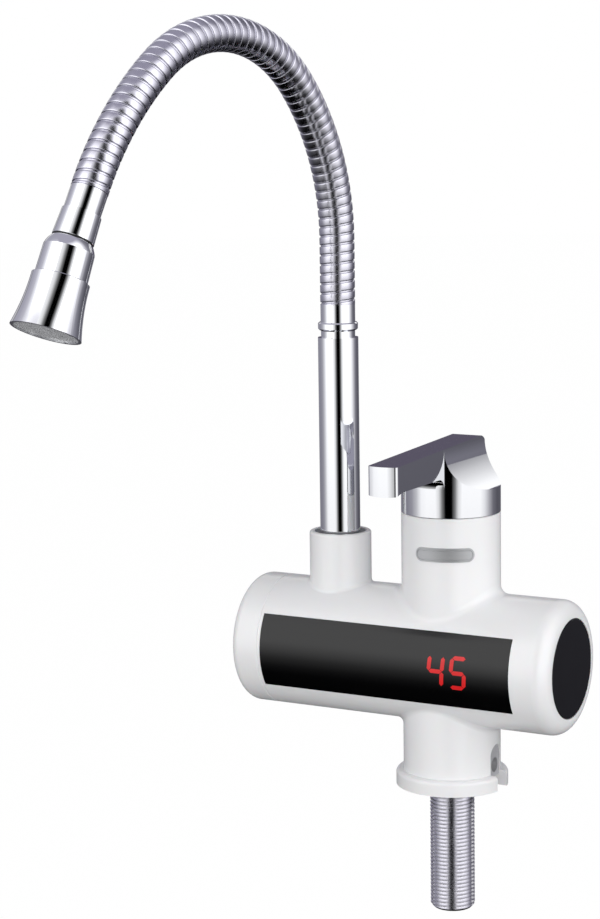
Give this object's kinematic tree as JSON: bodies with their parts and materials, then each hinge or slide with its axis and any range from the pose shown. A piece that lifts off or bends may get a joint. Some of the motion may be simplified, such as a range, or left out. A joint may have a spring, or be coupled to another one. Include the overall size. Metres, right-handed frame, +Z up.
{
  "type": "electric instant water heater tap",
  "caption": "Deck-mounted tap with an electric flow heater in its horizontal barrel, a display window, a lever and a flexible ribbed spout with a swivelling spray nozzle.",
  "frame": {"origin": "centre of the base flange's underside, on the threaded shank's axis, level with the deck", "axes": "+Z up, +X along the barrel towards its dark end disc, -Y to the front where the display and the lever point"},
  "size_m": [0.1751, 0.2235, 0.4167],
  "materials": {
    "white_abs": "glossy moulded ABS",
    "black_gloss": "polished black ABS",
    "smoked_acrylic": "polished dark acrylic",
    "led_red": "diffused light bar",
    "black_plastic": "matt moulded",
    "board_green": "solder mask",
    "terminal_plastic": "moulded nylon",
    "chrome": "polished chrome plate",
    "hose_steel": "polished stainless strip",
    "shank_steel": "nickel-plated thread",
    "zinc_screws": "zinc plate",
    "badge_silver": "satin, blank",
    "brass": "turned",
    "cartridge_plastic": "moulded acetal",
    "ceramic": "lapped alumina",
    "nylon_grey": "glass-filled nylon",
    "element_steel": "stainless sheath",
    "cutout_black": "phenolic",
    "reed_glass": "glass tube",
    "magnet_dark": "sintered magnet",
    "plug_grey": "moulded plug",
    "seal_rubber": "moulded rubber",
    "grommet_white": "moulded rubber",
    "inner_hose": "silicone hose",
    "face_plastic": "pale moulded plastic"
  },
  "bodies": {
    "housing": {"base_plate": "nylon_grey", "base_screws": "zinc_screws", "board_components": "black_plastic", "board_screws": "zinc_screws", "cable_grommet": "grommet_white", "cartridge_body": "cartridge_plastic", "cartridge_nut": "brass", "cartridge_seal": "seal_rubber", "ceramic_disc_fixed": "ceramic", "chamber_lid": "nylon_grey", "chamber_seal": "seal_rubber", "chamber_supports": "nylon_grey", "control_board": "board_green", "digit_segments": "led_red", "display_module": "black_plastic", "display_window": "smoked_acrylic", "end_cap_seal": "seal_rubber", "end_disc": "black_gloss", "heating_chamber": "nylon_grey", "heating_element": "element_steel", "housing_shell": "white_abs", "left_end_cap": "white_abs", "lid_screws": "zinc_screws", "nameplate": "badge_silver", "power_triac": "black_plastic", "reed_switch": "reed_glass", "shank_seal": "seal_rubber", "socket_seal": "seal_rubber", "spout_socket": "nylon_grey", "temperature_probe": "element_steel", "terminal_block": "terminal_plastic", "thermal_cutout": "cutout_black", "threaded_shank": "shank_steel", "valve_body": "brass"},
    "handle": {"handle": "chrome", "handle_screw": "zinc_screws", "handle_plug": "plug_grey", "handle_magnet": "magnet_dark", "cartridge_stem": "brass", "stem_seal": "seal_rubber", "ceramic_disc_moving": "ceramic"},
    "spout": {"riser_tube": "chrome", "riser_seals": "seal_rubber", "riser_clip": "zinc_screws", "lower_ferrule": "chrome", "hose_segment_1": "hose_steel", "inner_hose": "inner_hose"},
    "hose_2": {"hose_segment_2": "hose_steel"},
    "hose_3": {"hose_segment_3": "hose_steel"},
    "hose_4": {"hose_segment_4": "hose_steel"},
    "hose_5": {"hose_segment_5": "hose_steel"},
    "hose_end": {"hose_segment_6": "hose_steel", "hose_end_collar": "chrome", "ball_stud": "chrome"},
    "swivel": {"swivel_washer": "seal_rubber"},
    "nozzle": {"nozzle_body": "chrome", "ball_seat": "cartridge_plastic"},
    "sleeve": {"nozzle_sleeve": "chrome", "spray_plate": "face_plastic", "aerator": "face_plastic"}
  },
  "joints": [
    {"name": "handle_turn", "type": "hinge", "parent": "housing", "child": "handle", "pos_m": [0, 0, 0.1296], "axis": [0, 0, 1], "range_deg": [-60, 60]},
    {"name": "spout_swivel", "type": "hinge", "parent": "housing", "child": "spout", "pos_m": [-0.0582, 0, 0.1042], "axis": [0, 0, 1], "continuous": true},
    {"name": "hose_bend_1", "type": "hinge", "parent": "spout", "child": "hose_2", "pos_m": [-0.05841, -0.00091, 0.26821], "axis": [0.9744, -0.225, 0], "range_deg": [-8, 6], "deforming": ["inner_hose"]},
    {"name": "hose_bend_2", "type": "hinge", "parent": "hose_2", "child": "hose_3", "pos_m": [-0.06167, -0.01502, 0.31017], "axis": [0.9744, -0.225, 0], "range_deg": [-8, 6]},
    {"name": "hose_bend_3", "type": "hinge", "parent": "hose_3", "child": "hose_4", "pos_m": [-0.06867, -0.04537, 0.34134], "axis": [0.9744, -0.225, 0], "range_deg": [-8, 6]},
    {"name": "hose_bend_4", "type": "hinge", "parent": "hose_4", "child": "hose_5", "pos_m": [-0.07846, -0.08777, 0.34619], "axis": [0.9744, -0.225, 0], "range_deg": [-8, 6]},
    {"name": "hose_bend_5", "type": "hinge", "parent": "hose_5", "child": "hose_end", "pos_m": [-0.08685, -0.12411, 0.32269], "axis": [0.9744, -0.225, 0], "range_deg": [-8, 6]},
    {"name": "nozzle_turn", "type": "hinge", "parent": "hose_end", "child": "swivel", "pos_m": [-0.09637, -0.16533, 0.25553], "axis": [-0.1014, -0.4393, -0.8926], "continuous": true},
    {"name": "nozzle_tilt", "type": "hinge", "parent": "swivel", "child": "nozzle", "pos_m": [-0.09637, -0.16533, 0.25553], "axis": [0.9744, -0.225, 0], "range_deg": [-15, 8]},
    {"name": "spray_slide", "type": "slide", "parent": "nozzle", "child": "sleeve", "axis": [-0.089, -0.3854, -0.9184], "range_m": [0, 0.004]}
  ],
  "couplings": [
    {"joint": "hose_bend_2", "follows": "hose_bend_1", "ratio": 1},
    {"joint": "hose_bend_3", "follows": "hose_bend_1", "ratio": 1},
    {"joint": "hose_bend_4", "follows": "hose_bend_1", "ratio": 1},
    {"joint": "hose_bend_5", "follows": "hose_bend_1", "ratio": 1}
  ]
}
